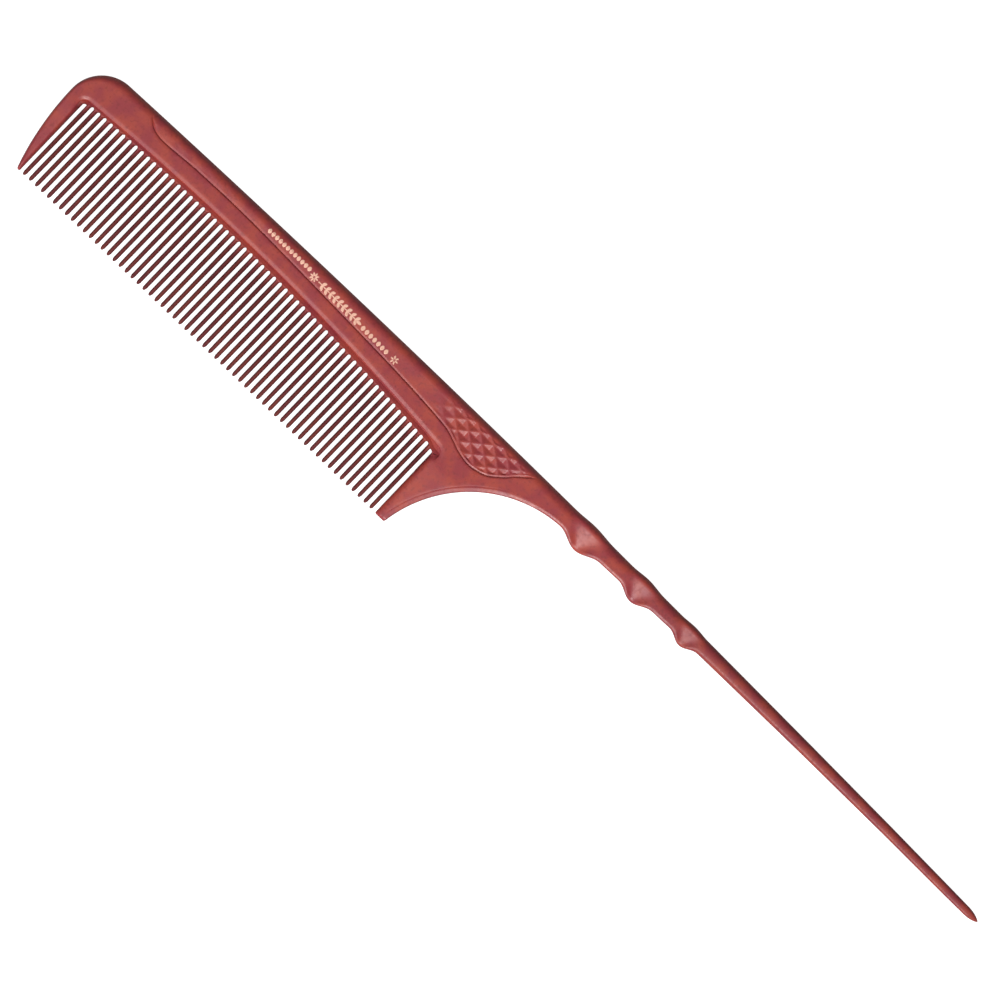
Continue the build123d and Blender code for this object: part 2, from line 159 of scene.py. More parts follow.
# Lines that the mesh follows: shares of an edge round, then distances from a groove, a rim or a side
EDGE_SHARES = (0.005, 0.02, 0.045, 0.08, 0.13, 0.19, 0.27, 0.36, 0.45, 0.6, 0.78, 1.0)
LIP_SHARES = (0.0, 0.008, 0.03, 0.07, 0.13, 0.2, 0.26, 0.4, 0.56, 0.74, 0.88, 1.0)
GROOVE_LINES = (-0.36, -0.27, -0.16, -0.04, 0.07, 0.18, 0.3, 0.42)
HEEL_LINES = (0.83, 0.95, 1.05, 1.15, 1.27)
GUARD_LINES = (0.01, 0.04, 0.09, 0.16, 0.26, 0.4, 0.56, 0.72, 0.9, 1.12, 1.4)
TIP_LINES = (0.05, 0.15, 0.3, 0.45, 0.6)
HEEL_LINE_SPAN = (12, 62, 60)  # first and last angle, in degrees, and number of points
TIP_STATIONS = ((2.2, 2.8, 3.2, 3.6), (95.6, 96.2, 96.8, 97.3, 97.9))  # x of the points: nose, heel
# Zones beside those lines that the loose points stay out of
GROOVE_ZONE = (-0.47, 0.53)
LIP_ZONE = -0.3  # outside the lip
HEEL_ZONE = 1.4
LINE_GAP = 0.1  # past an edge round or the lip
# Loose points of the mesh: range in x, range in h, step in x, step in h
PLAIN_FACES = (
    ((0.5, 83.8), (17.0, 26.0), 0.45, 0.4),
    ((0.5, 3.4), (0.8, 17.0), 0.3, 0.45),
    ((95.8, 120.0), (0.8, 18.4), 0.4, 0.4),
    ((112.4, 121.5), (18.5, 25.6), 0.4, 0.4),
)

# Foil: how deep it starts in the face, and the share of its thickness at which its sides turn in
FOIL_ROOT = -0.03
FOIL_SHOULDER = 0.6
# Rows of the foil ornament: name, first leaf, step, count, length and width of a leaf
FOIL_ROWS = (
    ("foil_chain", (45.3, 24.4), (0.93, 0.0), 12, (0.8, 1.0)),
    ("foil_lozenges", (70.4, 23.35), (1.02, -0.035), 7, (0.82, 1.05)),
)
SPRIG_START = (58.4, 23.86)
SPRIG_STEP = (1.12, -0.036)
SPRIG_JOINTS = 10
STEM_HALF = 0.1
SPRIG_LEAF = (0.05, 0.46, 1.0, 0.6, 46)  # place beside its joint, length, width and angle
SPRIG_END = (69.1, 23.52, 1.2, 0.6)  # last leaf: x, h, length and width
# Rosettes: x, h, reach, petals
ROSETTES = ((57.2, 23.9, 0.56, 8), (78.7, 23.1, 0.52, 6))
PETAL_LENGTH = 1.4  # in reaches
PETAL_WIDTH = 0.34

# Stage, in metres. The spot of a light is x and y from the middle of the comb, and a height
KEY_SPOT = (0.16, -0.56, 0.70)
KEY_WIDTH = 0.36
FILL_SPOT = (-0.5, -0.2, 0.9)
FILL_WIDTH = 0.6
FLOOR_HALF = 3.0
FLOOR_GAP = 0.0002  # how far the floor lies below the comb
CAMERA_X, CAMERA_Y = -4.02 * MM, 4.53 * MM
SENSOR_WIDTH = 36.0  # in millimetres, as the lens is

LENGTH = {"unit": "LENGTH", "subtype": "DISTANCE"}


def place(x, h, z=0.0):
    """A point of the comb's datum in the shared frame, in metres."""
    return Vector((LOW.x + x * MM, LOW.y + h * MM, MID_Z + z * MM))


def bulge(share):
    """Profile of a round edge: 0 at the edge and 1 from share = 1 inward."""
    share = np.clip(share, 0.0, 1.0)
    return np.sqrt(1 - (1 - share) ** 2)


def soft_corner(share):
    """Profile of an edge with a tight corner and a long shallow chamfer, from 0 at the edge to 1 inside."""
    share = np.clip(share, 0.0, 1.0)
    return 0.72 * bulge(share / 0.16) + 0.28 * (1 - (1 - share) ** 1.25)


def plate_edge(share):
    """Profile of the edge of a flat plate: a short wall below a soft corner."""
    return (0.5 + 0.5 * soft_corner(share)) * bulge(share / 0.2)


def ease(share):
    share = np.clip(share, 0.0, 1.0)
    return share * share * (3 - 2 * share)


def ease_from(value, start, width):
    """0 up to the start and 1 from the start plus the width."""
    return ease((value - start) / width)


def between(first, second, share):
    return first + (second - first) * share


def by_end(x, pair):
    """The first value at the nose end and the second at the heel end."""
    return np.where(x < MIDDLE_X, *pair)


def arc_height(x, apex, radius):
    return apex[1] - radius + np.sqrt(radius**2 - (x - apex[0]) ** 2)


def back_height(x):
    return arc_height(x, BACK_APEX, BACK_RADIUS)


def lip_height(x):
    return arc_height(x, LIP_APEX, LIP_RADIUS)


def web_half(h):
    """Half the thickness of the teeth and of the web at height h."""
    tip, gain, top = WEB_HALF
    return tip + gain * np.clip(h / top, 0, 1)


def handle_limits(x):
    """Top, bottom, half depth and swelling of the handle and the tail at x."""
    share = np.clip((x - HANDLE_START[0]) / (HANDLE_END[0] - HANDLE_START[0]), 0, 1)
    top, bottom, depth = [between(a, b, share) for a, b in zip(HANDLE_START[1:], HANDLE_END[1:])]
    swelling = np.zeros_like(x)
    for crown, length, drop, rise in FINGER_RESTS:
        away = np.clip(np.abs(x - crown) / length, 0, 0.5)
        swell = np.cos(np.pi * away) ** 2
        top = top + rise * swell
        bottom = bottom - drop * swell
        swelling = swelling + swell
    xs, middles, diameters = zip(*TAIL)
    middle = np.interp(x, xs, middles)
    point = np.clip((x - (TAIL[-1][0] - TAIL_POINT)) / TAIL_POINT, 0, 1)
    diameter = np.interp(x, xs, diameters) * (1 - point**2) ** TAIL_TAPER
    on_tail = x > TAIL[0][0]
    top = np.where(on_tail, middle + diameter / 2, top)
    bottom = np.where(on_tail, middle - diameter / 2, bottom)
    return top, bottom, np.where(on_tail, diameter, depth) / 2, swelling


def rest_profile(height):
    """Section of a finger rest from -1 at its bottom to 1 at its top: a slanted face and a round back."""
    upper = np.sqrt(np.clip(1 - ((height - REST_PEAK) / (1 - REST_PEAK)) ** 2, 0, 1))
    down = np.clip((REST_PEAK - height) / (REST_PEAK + 1), 0, 1)
    lower = (1 - REST_SLANT * down) * bulge((1 - down) / 0.15)
    return np.where(height > REST_PEAK, upper, lower)


def chain(points, step=0.5):
    """A smooth line through the points, sampled about every step."""
    ends = np.array([points[0], *points, points[-1]], float)
    line = []
    for a, b, c, d in zip(ends, ends[1:], ends[2:], ends[3:]):
        count = max(2, int(math.dist(b, c) / step))
        for t in np.arange(count) / count:
            bend = (2 * a - 5 * b + 4 * c - d) * t**2 + (3 * b - a - 3 * c + d) * t**3
            line.append(tuple(0.5 * (2 * b + (c - a) * t + bend)))
    return line + [tuple(points[-1])]


def shifted(line, distance):
    """The line moved to its left by the distance."""
    line = np.array(line)
    along = np.gradient(line, axis=0)
    along /= np.linalg.norm(along, axis=1)[:, None]
    return line + distance * np.stack([-along[:, 1], along[:, 0]], axis=1)


def lip_line(step=0.6):
    """The lip from the nose to the heel, with the body on its left."""
    nose_x, nose_r = LIP_NOSE
    heel_x, heel_r = LIP_HEEL
    nose_h = lip_height(nose_x + nose_r) - nose_r
    heel_h = lip_height(heel_x - heel_r) - heel_r
    turn = np.radians(np.linspace(0, 90, 9))
    line = [(nose_x, h) for h in np.linspace(LIP_ENDS[0], nose_h, 6)[:-1]]
    line += [(nose_x + nose_r * (1 - math.cos(a)), nose_h + nose_r * math.sin(a)) for a in turn]
    xs = np.linspace(nose_x + nose_r, heel_x - heel_r, int((heel_x - nose_x) / step))
    line += [(x, lip_height(x)) for x in xs[1:-1]]
    line += [(heel_x - heel_r * (1 - math.sin(a)), heel_h + heel_r * math.cos(a)) for a in turn]
    return line + [(heel_x, h) for h in np.linspace(heel_h, LIP_ENDS[1], 10)[1:]]


def signed_distance(x, h, line):
    """Distance of every point from the line, positive on its left."""
    best = np.full(x.shape, 1e9)
    sides = np.ones(x.shape)
    for (ax, ah), (bx, bh) in zip(line, line[1:]):
        ux, uh = bx - ax, bh - ah
        share = np.clip(((x - ax) * ux + (h - ah) * uh) / (ux * ux + uh * uh), 0, 1)
        gap = np.hypot(x - ax - share * ux, h - ah - share * uh)
        side = np.sign(ux * (h - ah) - uh * (x - ax))
        nearer = gap < best
        best = np.where(nearer, gap, best)
        sides = np.where(nearer, side, sides)
    return best * sides


def outer_depth(x, h):
    """How far a point lies inside the nose front, the nose corner or the back."""
    front = NOSE_FRONT[2] - np.hypot(x - NOSE_FRONT[0], h - NOSE_FRONT[1])
    corner = NOSE_CORNER[2] - np.hypot(x - NOSE_CORNER[0], h - NOSE_CORNER[1])
    beside_nose = x < NOSE_CORNER[0]
    return np.where(beside_nose, np.where(h < NOSE_CORNER[1], front, corner), back_height(x) - h)


def heel_depth(x, h):
    return np.hypot(x - HEEL_CURVE[0], h - HEEL_CURVE[1]) - HEEL_CURVE[2]


def neck_share(x):
    return ease_from(x, NECK_START_X, NECK_END_X - NECK_START_X)


def outer_round(x, h, s):
    """Radius of the edge round along the nose and the back, which ends at half the height of the neck."""
    turn = np.arctan2(np.clip(h - NOSE_CORNER[1], 0, None), NOSE_CORNER[0] - x) / (math.pi / 2)
    turn = np.where(x < NOSE_CORNER[0], turn, 1.0)
    base = between(s.nose_round / MM, s.back_round / MM, ease(turn))
    return between(base, NECK_HALF, neck_share(x))


def heel_reach(x, s):
    """How far the mesh rows of the hollow heel spread inward, up to half the height of the neck."""
    return between(s.heel_round / MM, NECK_HALF, neck_share(x))


def heel_edge(x, s):
    """Width of the edge round of the hollow heel, which grows tighter along the neck."""
    return between(s.heel_round / MM, HANDLE_EDGE, neck_share(x))


def guard_side(guard, h):
    """x of the side of a guard tooth that faces the fine teeth."""
    return between(guard[1], guard[2], np.clip(h / GUARD_SIDE_HEIGHT, 0, 1))


def guard_inner_gap(x, h):
    """How far a point of a guard tooth lies from the side that faces the fine teeth."""
    return by_end(x, (guard_side(NOSE_GUARD, h) - x, x - guard_side(HEEL_GUARD, h)))


def plain_half(x, h):
    """Half thickness before any relief: flat, with guard teeth that thin down to their tips."""
    down = np.clip(1 - h / by_end(x, (NOSE_GUARD[0], HEEL_GUARD[0])), 0, 1)
    taper = (1 + GUARD_BEND) * down**2 / (down + GUARD_BEND)
    return HALF_THICKNESS - (HALF_THICKNESS - GUARD_TIP_HALF) * taper


def panel_relief(groove, depth, s):
    """How far the panel and its groove sink into the face."""
    panel = s.panel_depth / MM
    inward = np.clip(groove, 0, None)
    ridge = np.clip(depth - s.back_round / MM, 0, None)
    tilt = ridge / (ridge + inward + 1e-6)
    sunk = panel * tilt + GROOVE_DEPTH * (1 - ease(inward / GROOVE_FLANK))
    wall = (panel + GROOVE_DEPTH) * ease_from(groove, -GROOVE_WALL[0], GROOVE_WALL[1])
    return np.where(groove > 0, sunk, wall) * ease_from(depth, *PANEL_FADE)


def small_relief(x, h, heel):
    """How far the sink marks and the faint line beside the heel rim sink into the face."""
    reach_x, reach_h, deep = DIMPLE_SIZE
    relief = 0.0
    for dx, dh in DIMPLES:
        relief = relief + deep * np.exp(-(((x - dx) / reach_x) ** 2 + ((h - dh) / reach_h) ** 2))
    gap, width, deep = HEEL_LINE
    end, fade = HEEL_LINE_END
    return relief + deep * np.exp(-(((heel - gap) / width) ** 2)) * ease((end - x) / fade)


def lip_step(x, h, half, s):
    """How far the face steps down at the lip to the web."""
    lip = np.clip(signed_distance(x, h, lip_line()), 0, None)
    (nose_start, nose_height), (heel_start, heel_height) = LIP_FADES
    fade = by_end(x, (ease_from(h, nose_start, nose_height), ease_from(h, heel_start, heel_height)))
    rise_x, rise_length, rise = LIP_HEEL_RISE
    foot = web_half(h) - LIP_FOOT + rise * ease_from(x, rise_x, rise_length)
    return fade * (half - foot) * (1 - soft_corner(lip / (s.lip_round / MM)))


def comb_half(x, h, s):
    """Half thickness of the comb ahead of the neck, and the mask of the knurled grip."""
    depth = outer_depth(x, h)
    heel = heel_depth(x, h)
    groove = signed_distance(x, h, chain(GROOVE))
    half = plain_half(x, h) - panel_relief(groove, depth, s) - small_relief(x, h, heel)
    half = half - lip_step(x, h, half, s)
    half = half * bulge(depth / outer_round(x, h, s)) * plate_edge(heel / heel_edge(x, s))
    side = bulge(guard_inner_gap(x, h) / by_end(x, GUARD_RIMS)) * bulge(h / GUARD_TIP_ROUND)
    half = np.where(h < by_end(x, GUARD_TOPS), half * side, half)
    knurl = ease_from(x, *KNURL_FADE) * ease_from(groove, *KNURL_RISE) * ease_from(depth, *KNURL_MARGIN)
    return half, knurl


def handle_half(x, h):
    """Half depth of the handle and the tail, with a slanted finger face on each rest."""
    top, bottom, depth, swelling = handle_limits(x)
    face = np.zeros_like(x)
    for crown, length, _, _ in FINGER_RESTS:
        # the face narrows towards the bottom of the rest
        width = REST_FACE[0] * length * np.clip((h - bottom) / (top - bottom) + 0.25, 0, 1)
        face = face + ease((width - np.abs(x - crown)) / (REST_FACE[1] * length) + 0.35)
    swelling = np.clip(swelling, 0, 1) ** 0.6 * (0.35 + 0.65 * np.clip(face, 0, 1))
    reach = np.maximum((top - bottom) / 2, 1e-6)
    height = np.clip((h - (top + bottom) / 2) / reach, -1, 1)
    flat_below = plate_edge((h - bottom) / HANDLE_EDGE)
    round_below = np.sqrt(1 - np.abs(height) ** 4)
    below = between(flat_below, round_below, ease_from(x, *ROD_FADE))
    section = np.where(height > 0, np.sqrt(1 - height**2), below)
    return depth * between(section, rest_profile(height), swelling)


def half_thickness(x, h, s):
    """Half thickness of the moulding and the mask of its knurled grip, at points of the datum."""
    x, h = np.asarray(x, float), np.asarray(h, float)
    comb, knurl = comb_half(np.minimum(x, NECK_END_X), h, s)
    half = np.where(x <= NECK_END_X, comb, handle_half(x, h))
    return np.maximum(half, PARTING_HALF), np.where(x < KNURL_END_X, knurl, 0.0)


def outer_row(share, s):
    """Line along the nose guard, the nose, the back and the top of the handle, inside the edge by a share."""
    cx, ch, r = NOSE_FRONT
    inner = r - share * s.nose_round / MM
    line = []
    for h in np.linspace(0.0, ch, 38)[:-1]:
        angle = math.asin((ch - h) / r)
        line.append((cx - inner * math.cos(angle), ch - inner * math.sin(angle)))
    cx, ch, r = NOSE_CORNER
    for angle in np.radians(np.linspace(180, 90, 40))[:-1]:
        across, up = math.cos(angle), math.sin(angle)
        inner = r - share * float(outer_round(cx + across, ch + up, s))
        line.append((cx + inner * across, ch + inner * up))
    for x in np.linspace(cx, NECK_END_X, 170)[:-1]:
        top = float(back_height(x))
        line.append((x, top - share * float(outer_round(x, top, s))))
    return line + handle_row(share, 1)


def handle_stations():
    point = TAIL[-1][0] - TAIL_POINT
    rests = np.linspace(NECK_END_X, HANDLE_END[0], 84)[:-1]
    tail = np.linspace(HANDLE_END[0], point, 90)[:-1]
    return np.concatenate([rests, tail, point + TAIL_POINT * np.sin(np.radians(np.linspace(0, 87.5, 14)))])


def handle_row(share, side):
    x = handle_stations()
    top, bottom, _, _ = handle_limits(x)
    h = (top + bottom) / 2 + side * (top - bottom) / 2 * (1 - share)
    return list(zip(x, h))


def heel_row(angles, depths):
    """Line along the hollow heel at the depths inside its edge."""
    cx, ch, r = HEEL_CURVE
    return [(cx - (r + d) * math.cos(a), ch + (r + d) * math.sin(a)) for a, d in zip(angles, depths)]


def inner_row(share, s):
    """Line along the heel guard, the hollow heel and the bottom of the handle."""
    cx, ch, r = HEEL_CURVE
    first = math.asin(-ch / r)
    last = math.pi / 2 - math.asin((cx - NECK_END_X) / r)
    angles = np.linspace(first, last, 90)[:-1]
    return heel_row(angles, share * heel_reach(cx - r * np.cos(angles), s)) + handle_row(share, -1)


def body_outline(s):
    """Closed outline of the moulding, whose lower edge between the guard teeth hides in the web."""
    top = outer_row(0.0, s)
    bottom = inner_row(0.0, s)
    seam = [(x, h) for x, h in shifted(lip_line(), -SEAM_DROP) if h > by_end(x, SEAM_STARTS)]
    up = np.linspace(0.4, 15.0, 28)
    nose_side = [(guard_side(NOSE_GUARD, h), h) for h in up]
    heel_side = [(guard_side(HEEL_GUARD, h), h) for h in up[::-1]]
    # the corners at the tips of the guard teeth
    nose_x, heel_x = top[0][0], bottom[0][0]
    nose_tip = [(nose_x + 0.25, 0.0), (3.32, 0.0), (3.46, 0.12)]
    heel_tip = [(95.83, 0.1), (96.05, 0.0), (heel_x - 0.3, 0.0), (heel_x - 0.12, 0.06)]
    top[0] = (nose_x + 0.03, 0.2)
    bottom[0] = (heel_x, 0.25)
    inside = [(3.42, 17.0), (3.3, 17.3)] + seam + [(96.3, 15.6), (95.9, 15.3)]
    return bottom + top[::-1] + nose_tip + nose_side + inside + heel_side + heel_tip


def lattice(x_range, h_range, dx, dh, origin=(0.0, 0.0)):
    """Points of every second crossing of a grid through the origin, within the ranges."""
    columns = range(math.ceil((x_range[0] - origin[0]) / dx), math.floor((x_range[1] - origin[0]) / dx) + 1)
    rows = range(math.ceil((h_range[0] - origin[1]) / dh), math.floor((h_range[1] - origin[1]) / dh) + 1)
    return [(origin[0] + i * dx, origin[1] + j * dh) for j in rows for i in columns if (i + j) % 2 == 0]


def face_points(s):
    """Loose points that fill the faces between the lines."""
    points = [point for area in PLAIN_FACES for point in lattice(*area)]
    points += lattice(
        *KNURL_AREA, s.knurl_pitch_x / MM / s.knurl_cuts, s.knurl_pitch_h / MM / s.knurl_cuts,
        (s.knurl_x / MM, s.knurl_h / MM),
    )
    x, h = np.array(points).T
    groove = signed_distance(x, h, chain(GROOVE))
    lip = signed_distance(x, h, lip_line())
    in_knurl = (x > KNURL_AREA[0][0]) & (x < KNURL_AREA[0][1])
    near_line = (groove > GROOVE_ZONE[0]) & (groove < GROOVE_ZONE[1])
    near_line |= (lip > LIP_ZONE) & (lip < s.lip_round / MM + LINE_GAP)
    near_line |= heel_depth(x, h) < HEEL_ZONE
    near_line |= outer_depth(x, h) < np.where(in_knurl, KNURL_MARGIN[0], outer_round(x, h, s) + LINE_GAP)
    return [point for point, near in zip(points, near_line) if not near]


def body_points(s):
    """Points, edges and outline from which the flat pattern of the moulding is triangulated."""
    points, edges = [], []

    def add(line):
        first = len(points)
        points.extend((float(x), float(h)) for x, h in line)
        edges.extend((i, i + 1) for i in range(first, len(points) - 1))
        return list(range(first, len(points)))

    outline = add(body_outline(s))
    for share in EDGE_SHARES:
        add(outer_row(share, s))
        add(inner_row(share, s))
    for side in GROOVE_LINES:
        add(shifted(chain(GROOVE), side))
    angles = np.radians(np.linspace(*HEEL_LINE_SPAN))
    for side in HEEL_LINES:
        add(heel_row(angles, np.full(angles.shape, side)))
    for share in LIP_SHARES:
        add(shifted(lip_line(), share * s.lip_round / MM))
    up = np.linspace(0.1, GUARD_SIDE_HEIGHT, 24)
    for guard, sign, rim in zip((NOSE_GUARD, HEEL_GUARD), (-1, 1), GUARD_RIMS):
        for gap in (gap for gap in GUARD_LINES if gap <= rim):
            add([(guard_side(guard, h) + sign * gap, h) for h in up])
    for h in TIP_LINES:
        for stations in TIP_STATIONS:
            add([(x, h) for x in stations])
    return points + face_points(s), edges, outline


def add_mask(mesh, name, values):
    """Gives every point of the mesh a number that the nodes can read."""
    mesh.attributes.new(name, "FLOAT", "POINT").data.foreach_set("value", np.asarray(values, np.float32))


def body_mesh(s):
    """The moulding as one closed mesh: the flat pattern, lifted to both faces and closed at its outline."""
    points, edges, outline = body_points(s)
    points = [Vector(p) for p in points]
    # type 1 gives the triangles inside the outline
    flat, _, faces, _, _, sources = delaunay_2d_cdt(points, edges, [outline], 1, 1e-5, True)
    kept = [f for f, source in zip(faces, sources) if source]
    used = sorted({v for f in kept for v in f})
    number = {v: i for i, v in enumerate(used)}
    x = np.array([flat[v].x for v in used])
    h = np.array([flat[v].y for v in used])
    half, knurl = half_thickness(x, h, s)
    count = len(used)
    front = [place(a, b, c) for a, b, c in zip(x, h, half)]
    back = [place(a, b, -c) for a, b, c in zip(x, h, half)]
    up = [tuple(number[v] for v in f) for f in kept]
    rim = {(f[i], f[(i + 1) % len(f)]) for f in up for i in range(len(f))}
    walls = [(a, a + count, b + count, b) for a, b in rim if (b, a) not in rim]
    down = [tuple(v + count for v in reversed(f)) for f in up]
    mesh = bpy.data.meshes.new("comb_body")
    mesh.from_pydata(front + back, [], up + down + walls)
    # painted shade: the mask thin grows along the handle and darkens the colour of the tail
    start, fade, most = TAIL_SHADE
    add_mask(mesh, "knurl", np.tile(knurl, 2))
    add_mask(mesh, "thin", np.tile(most * ease_from(x, start, fade), 2))
    return mesh


def tooth_rings():
    """Sections of a tooth: height, half width, half thickness, width and depth of the corners."""
    tip, root = TOOTH_HALVES
    reach = TOOTH_PITCH / 2 - root  # radius of the round slot top
    side = TOOTH_PITCH / 2 + TOOTH_LAP
    shoulder = SLOT_TOP - reach
    web = float(web_half(SLOT_TOP))
    point = ((0.0, 0.1, 0.2), (0.16, 0.26, 0.42), (0.6, tip, 0.62))
    rings = [(h, w, t, w * 0.9, t * 0.8) for h, w, t in point]
    for h in (6.0, 12.0, 16.5, shoulder):
        w = between(tip, root, h / shoulder)
        t = float(web_half(h))
        rings.append((h, w, t, w * 0.92, t * 0.85))
    for angle in np.radians((30, 55, 75, 90)):
        share = 1 - math.sin(angle)
        corner = (max(0.36 * share, SHARP), max(1.05 * share, SHARP))
        rings.append((shoulder + reach * math.sin(angle), side - reach * math.cos(angle), web, *corner))
    # the web behind the lip is thinner
    for up, hollow in ((0.5, 0.14), (0.9, 0.3), (2.1, 0.32)):
        rings.append((SLOT_TOP + up, side, web - hollow, SHARP, SHARP))
    return rings


def tooth_mesh():
    """One fine tooth with its piece of web, a closed solid that laps its neighbours at the top."""
    rings = tooth_rings()
    verts = []
    for h, w, t, cw, ct in rings:
        corner = [(w, t - ct), (w - cw * 0.42, t - ct * 0.42), (w - cw, t)]
        ring = corner + [(-a, b) for a, b in reversed(corner)]
        ring += [(-a, -b) for a, b in corner] + [(a, -b) for a, b in reversed(corner)]
        verts += [(a * MM, LOW.y + h * MM, MID_Z + b * MM) for a, b in ring]
    sides = len(verts) // len(rings)
    last = (len(rings) - 1) * sides
    faces = [tuple(range(sides))]
    for first in range(0, last, sides):
        for i in range(sides):
            a, b = first + i, first + (i + 1) % sides
            faces.append((a + sides, b + sides, b, a))
    faces.append(tuple(reversed(range(last, last + sides))))
    mesh = bpy.data.meshes.new("tooth_row")
    mesh.from_pydata(verts, [], faces)
    # both ends and the web behind the lip stay flat
    web_start = last - 2 * sides
    ends = (0, len(faces) - 1)
    smooth = [max(face) < web_start and number not in ends for number, face in enumerate(faces)]
    mesh.polygons.foreach_set("use_smooth", smooth)
    # painted shade: the mask thin darkens the teeth and fades out below the slot tops, so the web keeps the
    # plain colour
    fade = [float(1 - ease_from(h, SLOT_TOP - TOOTH_FADE[0], TOOTH_FADE[1])) for h, *_ in rings]
    add_mask(mesh, "thin", np.repeat(fade, sides))
    return mesh


def leaf_outline(length, width, sides=14):
    """Pointed leaf round the origin, along x."""
    ring = []
    for index in range(sides):
        a = 2 * math.pi * index / sides
        ring.append((length / 2 * math.cos(a), width / 2 * math.sin(a) * (0.45 + 0.55 * abs(math.sin(a)))))
    return ring


class FoilSheet:
    """Collects thin closed foil shapes in the comb's datum and lays them on the front face."""

    def __init__(self, thickness):
        self.points, self.faces, self.lift = [], [], thickness

    def leaf(self, x, h, length, width, angle=0.0):
        ring = leaf_outline(length, width)
        c, s = math.cos(math.radians(angle)), math.sin(math.radians(angle))
        count, first = len(ring), len(self.points)
        turned = [(a * c - b * s, a * s + b * c) for a, b in ring]
        for size, z in ((1.0, FOIL_ROOT), (1.0, self.lift * FOIL_SHOULDER), (0.8, self.lift)):
            self.points += [(x + size * a, h + size * b, z) for a, b in turned]
        self.points += [(x, h, FOIL_ROOT), (x, h, self.lift)]
        low, high = first + 3 * count, first + 3 * count + 1
        for i in range(count):
            j = (i + 1) % count
            for level in (0, count):
                a, b = first + level + i, first + level + j
                self.faces.append((a, b, b + count, a + count))
            self.faces.append((first + j, first + i, low))
            self.faces.append((first + 2 * count + i, first + 2 * count + j, high))

    def ribbon(self, line, half):
        """A stroke along the line with the half width."""
        line = chain(line, 0.18)
        across = shifted(line, 1.0) - np.array(line)
        shoulder = self.lift * FOIL_SHOULDER
        section = [(1.0, FOIL_ROOT), (1.0, shoulder), (0.6, self.lift)]
        section += [(-side, z) for side, z in reversed(section)]
        first, count = len(self.points), len(line)
        for (x, h), (nx, nh) in zip(line, across):
            self.points += [(x + nx * half * side, h + nh * half * side, z) for side, z in section]
        for index in range(count - 1):
            a, b = first + index * 6, first + index * 6 + 6
            for i in range(6):
                j = (i + 1) % 6
                self.faces.append((a + j, a + i, b + i, b + j))
        last = first + (count - 1) * 6
        self.faces.append(tuple(first + i for i in range(6)))
        self.faces.append(tuple(last + i for i in reversed(range(6))))

    def mesh(self, name):
        mesh = bpy.data.meshes.new(name)
        mesh.from_pydata(self.points, [], self.faces)
        return mesh


def sprig(lift):
    """Foil leaf sprig with paired leaves on a straight stem, and two rosettes."""
    sheet = FoilSheet(lift)
    (x, h), (along, down) = SPRIG_START, SPRIG_STEP
    stem = [(x + along * index, h + down * index) for index in range(SPRIG_JOINTS)]
    sheet.ribbon(stem, STEM_HALF)
    ahead, beside, length, width, angle = SPRIG_LEAF
    for x, h in stem[1:]:
        for side in (1, -1):
            sheet.leaf(x + ahead, h + side * beside, length, width, side * angle)
    sheet.leaf(*SPRIG_END)
    for x, h, reach, petals in ROSETTES:
        for index in range(petals):
            turn = 2 * math.pi * index / petals
            centre = (x + reach * math.cos(turn), h + reach * math.sin(turn))
            sheet.leaf(*centre, PETAL_LENGTH * reach, PETAL_WIDTH, math.degrees(turn))
    return sheet


def lay_on_face(mesh, s):
    """Lifts a mesh drawn in the datum onto the front face of the moulding."""
    co = np.array([v.co for v in mesh.vertices])
    half, _ = half_thickness(co[:, 0], co[:, 1], s)
    for vertex, (x, h, z), t in zip(mesh.vertices, co, half):
        vertex.co = place(x, h, z + t)


# ---- nodes ----


def wire(tree, source, target):
    """Links a socket, or sets the value of the target when the source is a plain value."""
    if isinstance(source, bpy.types.NodeSocket):
        tree.links.new(source, target)
    else:
        target.default_value = source


def compute(tree, operation, *values):
    """A math node of the tree and its result."""
    node = tree.nodes.new("ShaderNodeMath")
    node.operation = operation
    for value, socket in zip(values, node.inputs):
        wire(tree, value, socket)
    return node.outputs[0]


def ramp_between(tree, value, low, high, to_low=0.0, to_high=1.0, smooth=True):
    node = tree.nodes.new("ShaderNodeMapRange")
    node.interpolation_type = "SMOOTHSTEP" if smooth else "LINEAR"
    sources = {"Value": value, "From Min": low, "From Max": high, "To Min": to_low, "To Max": to_high}
    for name, source in sources.items():
        wire(tree, source, node.inputs[name])
    return node.outputs["Result"]


def vector(tree, x=0.0, y=0.0, z=0.0):
    node = tree.nodes.new("ShaderNodeCombineXYZ")
    for source, socket in zip((x, y, z), node.inputs):
        wire(tree, source, socket)
    return node.outputs[0]


def position_parts(tree):
    """The x, y and z of every point."""
    position = tree.nodes.new("GeometryNodeInputPosition")
    split = tree.nodes.new("ShaderNodeSeparateXYZ")
    tree.links.new(position.outputs[0], split.inputs[0])
    return list(split.outputs)


def repeat_along(tree, shape, count, start, step):
    """Places the shape on the points of a straight row."""
    line = tree.nodes.new("GeometryNodeMeshLine")
    for source, name in ((count, "Count"), (start, "Start Location"), (step, "Offset")):
        wire(tree, source, line.inputs[name])
    copies = tree.nodes.new("GeometryNodeInstanceOnPoints")
    tree.links.new(line.outputs[0], copies.inputs["Points"])
    tree.links.new(shape, copies.inputs["Instance"])
    return copies.outputs[0]


def geometry_tree(name, inputs):
    """A geometry node group with one geometry in and out and the named number inputs."""
    tree = bpy.data.node_groups.new(name, "GeometryNodeTree")
    tree.interface.new_socket("Geometry", in_out="INPUT", socket_type="NodeSocketGeometry")
    for label, kind, value in inputs:
        socket = tree.interface.new_socket(label, in_out="INPUT", socket_type=kind)
        socket.default_value = value
    tree.interface.new_socket("Geometry", in_out="OUTPUT", socket_type="NodeSocketGeometry")
    group_in = tree.nodes.new("NodeGroupInput")
    group_out = tree.nodes.new("NodeGroupOutput")
    return tree, group_in, group_out


